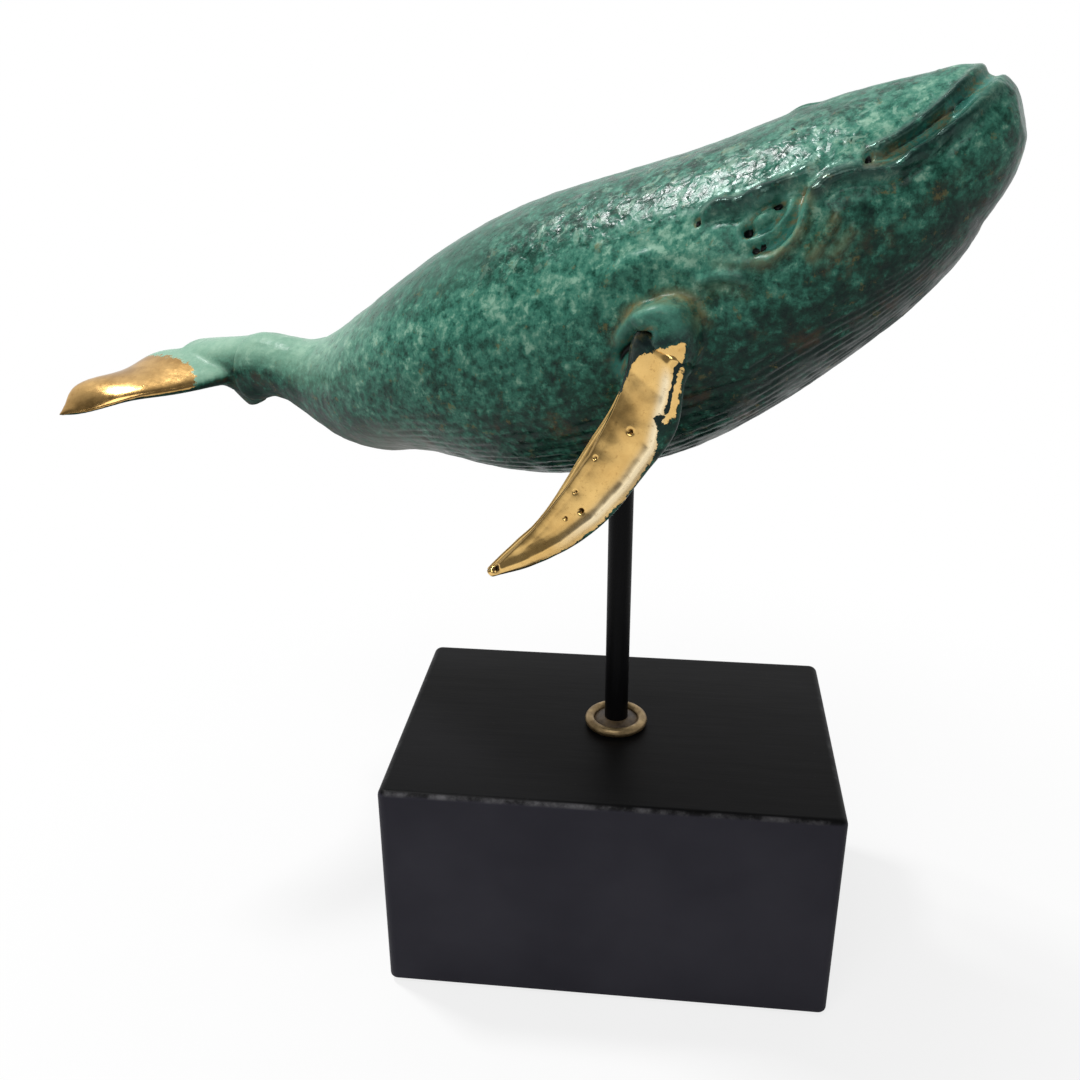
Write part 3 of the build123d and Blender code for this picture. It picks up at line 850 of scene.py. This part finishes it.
# The tail stock takes that tone, darker on faces that look down as painted shade
tone += tail_share * (stock_wear_and_shade(normals) - tone)
worn = tail_share * worn_share(normals)
crown = np.clip(2.2 * back_share - 1.3, 0, 1) * (1 - flaky)
grey_belly = bell(place_u + 58, 18) * np.clip(-back_share * 2.2 - 0.5, 0, 1)
body_finish = bronze_finish("patinated_bronze")
body = new_piece("whale_skin", *grid_shell(skin), body_finish, "green_patina", "whale_body")
for name, values in (
    ("tone", tone),
    ("hollow", hollow),
    ("ridge", ridge),
    ("ochre", ochre),
    ("pale", pale),
    ("grey", grey_belly),
    ("flaky", flaky),
    ("worn", worn),
    ("crown", crown),
    ("dull", tail_share * dull_share(normals)),
    ("bare", bare_root),
):
    note(body, name, with_ends(values))

# Flippers: cast on their own and pegged into the shoulders, with the root starting inside the shoulder,
# flush with it.
# The faces are ground back to bright bronze; patina is left at the root and on the leading edge.

# Sections in millimetres down from the seat, and how far forward the middle, the front edge, the
# step behind and the roll of the leading edge lie there
section_down = [0.0, 6.2, 16.1, 26.0, 36.0, 44.6, 52.7, 58.3, 62.0]
section_lead = [2.0, 4.8, 7.4, 7.7, 8.0, 6.9, 4.5, 2.3, 0.5]
front_edge_at = [8.8, 12.3, 14.7, 14.6, 14.2, 11.9, 8.2, 4.7, 1.4]
rear_step_at = [-3.4, -1.8, 0.8, 2.7, 2.9, 2.6, 1.9, 1.0, 0.0]
roll_at = [4.6, 7.9, 12.3, 12.7, 11.8, 9.6, 6.2, 3.2, 0.8]

# Casting pits on the outer face: down, toward the leading edge, and size
flipper_pits = [
    (16.1, 6.8, 0.8),
    (36.6, 8.7, 0.7),
    (40.1, 6.9, 0.4),
    (60.1, 1.2, 0.8),
    (25.5, 4.1, 0.35),
    (34.2, 5.1, 0.35),
]
root_start = -2.6
tip_start = 56.0
tip_length = 5.9
blade_rows = np.linspace(root_start, tip_start, 195)
tip_rows = tip_start + tip_length * np.sin(np.linspace(0, pi / 2, 28)[1:])
rows_to_tip = np.concatenate([blade_rows, tip_rows])
flipper_columns = 128
turns = np.arange(flipper_columns) * 2 * pi / flipper_columns
fan_width, fan_thickness = 0.93, 0.37
first_whole_row = 0.2
blade_search_from = 30 * mm
flipper_finish = bronze_finish("ground_bronze_flipper")
for name, side in (("right_flipper", -1), ("left_flipper", 1)):
    seat, tipward, leading, outer = flipper_axes(side)
    fan = np.outer(fan_width * np.cos(turns), leading) + np.outer(fan_thickness * np.sin(turns), outer)
    fan /= np.linalg.norm(fan, axis=1, keepdims=True)
    rays = np.broadcast_to(fan, (len(rows_to_tip), *fan.shape))
    leads = np.interp(rows_to_tip, section_down, section_lead)
    centres = seat + mm * (np.outer(rows_to_tip, tipward) + np.outer(leads, leading))
    reach = wrap(hide_of(name), centres, rays, blade_search_from)
    buried = rows_to_tip < first_whole_row
    reach[buried] = reach[~buried][0]
    reach = softened(reach, passes=2)
    points = centres[:, None, :] + rays * reach[:, :, None]
    outward = grid_normals(points, rays)
    down = (points - seat) @ tipward / mm
    lead = (points - seat) @ leading / mm

    # Relief: a ledge behind the step, a dish before the roll, pits, and the root flush with the body
    outer_face = np.clip((outward @ outer) * 2.5, 0, 1)
    past_step = lead - np.interp(down, section_down, rear_step_at)
    past_roll = lead - np.interp(down, section_down, roll_at)
    clear_of_root = np.clip(down / 8, 0, 1)
    step_line = bell(past_step, 0.35) * outer_face * clear_of_root
    ledge = np.clip(0.5 - past_step / 0.6, 0, 1) * outer_face * clear_of_root
    dish = np.clip(past_step / 2.0, 0, 1) * np.clip(-past_roll / 3.0, 0, 1)
    dish = dish * outer_face * np.clip(down / 6, 0, 1)
    roll = bell(past_roll, 1.2) * outer_face
    dimples = clouds_at(points, 150.0, 2)
    ragged = clouds_at(points, 800.0, 3)
    pits = np.zeros(down.shape)
    for pit_down, pit_lead, pit_size in flipper_pits:
        gap = np.hypot(down - pit_down, lead - pit_lead) * (1 + 0.8 * dimples)
        pits = np.maximum(pits, bell(gap, pit_size, steep=4) * outer_face)
    flush = np.interp(down, [root_start, -1.6, 0.3, 6.0], [-0.6, 0.45, 0.45, 0.0])
    raised = 0.7 * roll - 0.35 * ledge - 0.25 * dish - 0.8 * pits + 0.12 * dimples + flush
    points = points + outward * (raised * mm)[:, :, None]

    # Bright metal below the slanting line, apart from the leading edge, a dark strip and the crust
    below_line = past(below_gold_line(down, lead), gold_line_softness)
    dark_strip = bell(past_roll - 1.6 + 0.35 * ragged, 0.6) * np.clip((9.5 - down) / 2, 0, 1)
    edge_patina = np.interp(down, [-3, 3, 8, 11, 14, 18, 24, 62], [1.4, 1.1, 0.5, 1.6, 2.0, 0.8, 0.3, 0.2])
    front_edge = np.interp(down, section_down, front_edge_at)
    front_bright = past(front_edge - edge_patina - lead + 0.4 * ragged, 1.2)
    chipped = bell(down - 10.5, 2.0) * bell(past_roll - 0.4 + 0.8 * ragged, 1.4)
    crust = np.clip(1 - past_step / 1.5, 0, 1) * np.clip((15 - down) / 4, 0, 1)
    bare = np.minimum(below_line, front_bright) - 0.9 * dark_strip - 0.8 * chipped - 0.6 * crust
    bare = np.where(outward @ outer < -0.2, np.minimum(bare, 0.55), bare)
    piece = new_piece(f"{name}_casting", *grid_shell(points), flipper_finish, "bright_bronze", name)
    for layer, values in (
        ("tone", np.interp(down, [0.0, 9.0, 14.0], [0.12, 0.10, 0.30])),
        # Pits painted black and the step line darkened: painted shade
        ("hollow", np.maximum(1.2 * pits, 0.75 * step_line)),
        ("ridge", np.clip(dark_strip + chipped + crust + 1 - below_line, 0, 1)),
        ("ochre", 0.5 * crust),
        ("bare", bare),
        # The pale band on the roll is painted highlight
        ("roll_highlight", roll * np.clip(down / 3, 0, 1) * np.clip((48 - down) / 12, 0, 1)),
    ):
        note(piece, layer, with_ends(values))

# Tail flukes: both lobes and the last of the stock in one casting, pegged and brazed to the
# body. The lobes are ground bright on top toward the tips; the rest keeps its turquoise patina.
def recast(node, voxel):
    """Fine even mesh of a CAD piece: points in metres, faces, and outward normals."""
    rough = bpy.data.objects.new("recast", nodes[node].data.copy())
    bpy.context.scene.collection.objects.link(rough)
    remesh = rough.modifiers.new("even", "REMESH")
    remesh.mode = "VOXEL"
    remesh.voxel_size = voxel
    smooth = rough.modifiers.new("smooth", "SMOOTH")
    smooth.factor = 0.5
    smooth.iterations = 36
    view = bpy.context.evaluated_depsgraph_get()
    even = bpy.data.meshes.new_from_object(rough.evaluated_get(view))
    points = np.zeros(len(even.vertices) * 3)
    even.vertices.foreach_get("co", points)
    outward = np.zeros(len(even.vertices) * 3)
    even.vertex_normals.foreach_get("vector", outward)
    faces = [tuple(face.vertices) for face in even.polygons]
    bpy.data.objects.remove(rough)
    bpy.data.meshes.remove(even)
    return points.reshape(-1, 3), faces, outward.reshape(-1, 3)


points, faces, outward = recast("tail_fluke", 0.45 * mm)
tail_lean = radians(tail_joint[2])
fluke_roll = radians(13)
rearward = -(forward * cos(tail_lean) + upward * sin(tail_lean))
tail_up = upward * cos(tail_lean) - forward * sin(tail_lean)
fluke_up = tail_up * cos(fluke_roll) + leftward * sin(fluke_roll)
fluke_left = leftward * cos(fluke_roll) - tail_up * sin(fluke_roll)
joint = belly + mm * (tail_joint[0] * forward + tail_joint[1] * upward)
from_joint = (points - joint) / mm
rear = from_joint @ rearward
spanwise = from_joint @ fluke_left
facing_up = outward @ fluke_up

# The tips are drawn out round where the casting is cut off
tip_from = 0.80
tip_span = 0.20
tip_draw = 1.08
half_span = np.max(np.abs(spanwise))
tip_share = np.clip((np.abs(spanwise) / half_span - tip_from) / tip_span, 0, 1)
for lobe in (spanwise < -0.5 * half_span, spanwise > 0.5 * half_span):
    near_tip = lobe & (tip_share > 0)
    tip_middle = points[lobe & (tip_share > 0.75)].mean(axis=0)
    start_middle = points[near_tip & (tip_share < 0.1)].mean(axis=0)
    to_tip = tip_middle - start_middle
    spine = start_middle + tip_share[near_tip, None] * to_tip * tip_draw
    spine_way = to_tip / np.linalg.norm(to_tip)
    offset = points[near_tip] - spine
    offset -= np.outer(offset @ spine_way, spine_way)
    rounding = np.sqrt(np.clip(1 - 0.92 * tip_share[near_tip] ** 2.4, 0, 1))
    points[near_tip] += offset * (rounding - 1)[:, None]
bright_from = 13.0 + 0.6 * np.clip(14 - rear, 0, 10)
bare = past(np.abs(spanwise) - bright_from, 4.0)
bare *= np.clip((facing_up + np.where(spanwise < 0, 0.35, -0.3)) / 0.2, 0, 1)
fluke_finish = bronze_finish("ground_bronze_fluke", paint(206, 166, 104), paint(168, 130, 74))
piece = new_piece("tail_fluke_casting", points, faces, fluke_finish, "bright_bronze", "tail_fluke")
note(piece, "bare", bare)
# On the fluke too the stock is darker underneath as painted shade
note(piece, "tone", stock_wear_and_shade(outward))
note(piece, "worn", worn_share(outward))
note(piece, "dull", dull_share(outward))

# Studio: a pale floor that runs out to white, soft boxes overhead to the left and in front, and
# the camera where the photographer stood.
floor_finish, tree, shader, place = new_finish("pale_studio_floor")
light_path = wire(tree, "ShaderNodeLightPath").outputs
mirrored = sums(tree, "MAXIMUM", light_path["Is Glossy Ray"], light_path["Is Transmission Ray"])
seen = sums(tree, "MAXIMUM", light_path["Is Camera Ray"], mirrored)
paper_clouds = fade(tree, speckle(tree, place, 60 * mm), 0.3, 0.7)
paper = over(tree, paper_clouds, paint(246, 246, 246), paint(250, 250, 250))
tree.links.new(over(tree, seen, paint(178, 178, 178), paper), shader.inputs["Base Color"])
shader.inputs["Roughness"].default_value = 0.9
shader.inputs["Specular IOR Level"].default_value = 0.1
from_middle = wire(tree, "ShaderNodeVectorMath", {0: place}, operation="LENGTH").outputs["Value"]
white_share = between(tree, fade(tree, from_middle, 0.06, 0.26), 0.80, 1.0)
mirror_share = between(tree, fade(tree, from_middle, 0.15, 1.20), 0.25, 1.0)
shown_white = sums(tree, "MULTIPLY", white_share, light_path["Is Camera Ray"])
run_out = sums(tree, "MAXIMUM", shown_white, sums(tree, "MULTIPLY", mirror_share, mirrored))
white = (1.0, 1.0, 1.0, 1.0)
glow = wire(tree, "ShaderNodeEmission", {"Color": white, "Strength": 1.0}).outputs["Emission"]
layers = {0: run_out, 1: shader.outputs["BSDF"], 2: glow}
blend = wire(tree, "ShaderNodeMixShader", layers).outputs["Shader"]
tree.links.new(blend, tree.nodes["Material Output"].inputs["Surface"])
floor_mesh = bpy.data.meshes.new("studio_floor")
floor_size = 6.0
floor_corners = [(x * floor_size, y * floor_size, 0.0) for x, y in ((-1, -1), (1, -1), (1, 1), (-1, 1))]
floor_mesh.from_pydata(floor_corners, [], [(0, 1, 2, 3)])
floor_mesh.materials.append(floor_finish)
floor = bpy.data.objects.new("studio_floor", floor_mesh)
bpy.context.scene.collection.objects.link(floor)

world = bpy.data.worlds.new("studio_white")
bpy.context.scene.world = world
world.use_nodes = True
tree = world.node_tree
light_path = wire(tree, "ShaderNodeLightPath").outputs
mirrored = sums(tree, "MAXIMUM", light_path["Is Glossy Ray"], light_path["Is Transmission Ray"])
sky_way = axes_of(tree, wire(tree, "ShaderNodeTexCoord").outputs["Generated"])
horizon = part_of(tree, fade(tree, sky_way["Z"], 0.35, 0.05), 0.9)
backdrop = sums(tree, "MAXIMUM", fade(tree, sky_way["Y"], -0.3, 0.5), horizon)
room = between(tree, backdrop, 0.17, 0.28)
shown = sums(tree, "MAXIMUM", light_path["Is Camera Ray"], sums(tree, "MULTIPLY", mirrored, backdrop))
strength = sums(tree, "MAXIMUM", room, shown)
background = tree.nodes["Background"]
background.inputs["Color"].default_value = white
tree.links.new(strength, background.inputs["Strength"])

figure_middle = Vector((0.0, 0.0, 0.15))


def soft_light(name, place, size, power):
    """A square soft box aimed at the middle of the figure."""
    lamp = bpy.data.lights.new(name, "AREA")
    lamp.size = size
    lamp.energy = power
    box = bpy.data.objects.new(name, lamp)
    box.location = place
    box.rotation_euler = (figure_middle - Vector(place)).to_track_quat("-Z", "Y").to_euler()
    bpy.context.scene.collection.objects.link(box)


soft_light("left_box", place=(-0.48, 0.22, 1.05), size=0.15, power=8.0)
soft_light("front_box", place=(-0.20, -0.65, 0.95), size=0.60, power=3.6)

camera = bpy.data.cameras.new("photographer")
camera.sensor_width = 36.0
camera.lens = 38.14
camera.clip_start = 0.01
viewer = bpy.data.objects.new("photographer", camera)
standpoint = Matrix.Translation((0.0115, -0.2785, 0.2412))
turn_left = Matrix.Rotation(radians(6.74), 4, "Z")
look_down = Matrix.Rotation(radians(90 - 23.44), 4, "X")
tip_sideways = Matrix.Rotation(radians(-0.37), 4, "Z")
viewer.matrix_world = standpoint @ turn_left @ look_down @ tip_sideways
bpy.context.scene.collection.objects.link(viewer)
bpy.context.scene.camera = viewer
bpy.context.scene.view_settings.view_transform = "Standard"
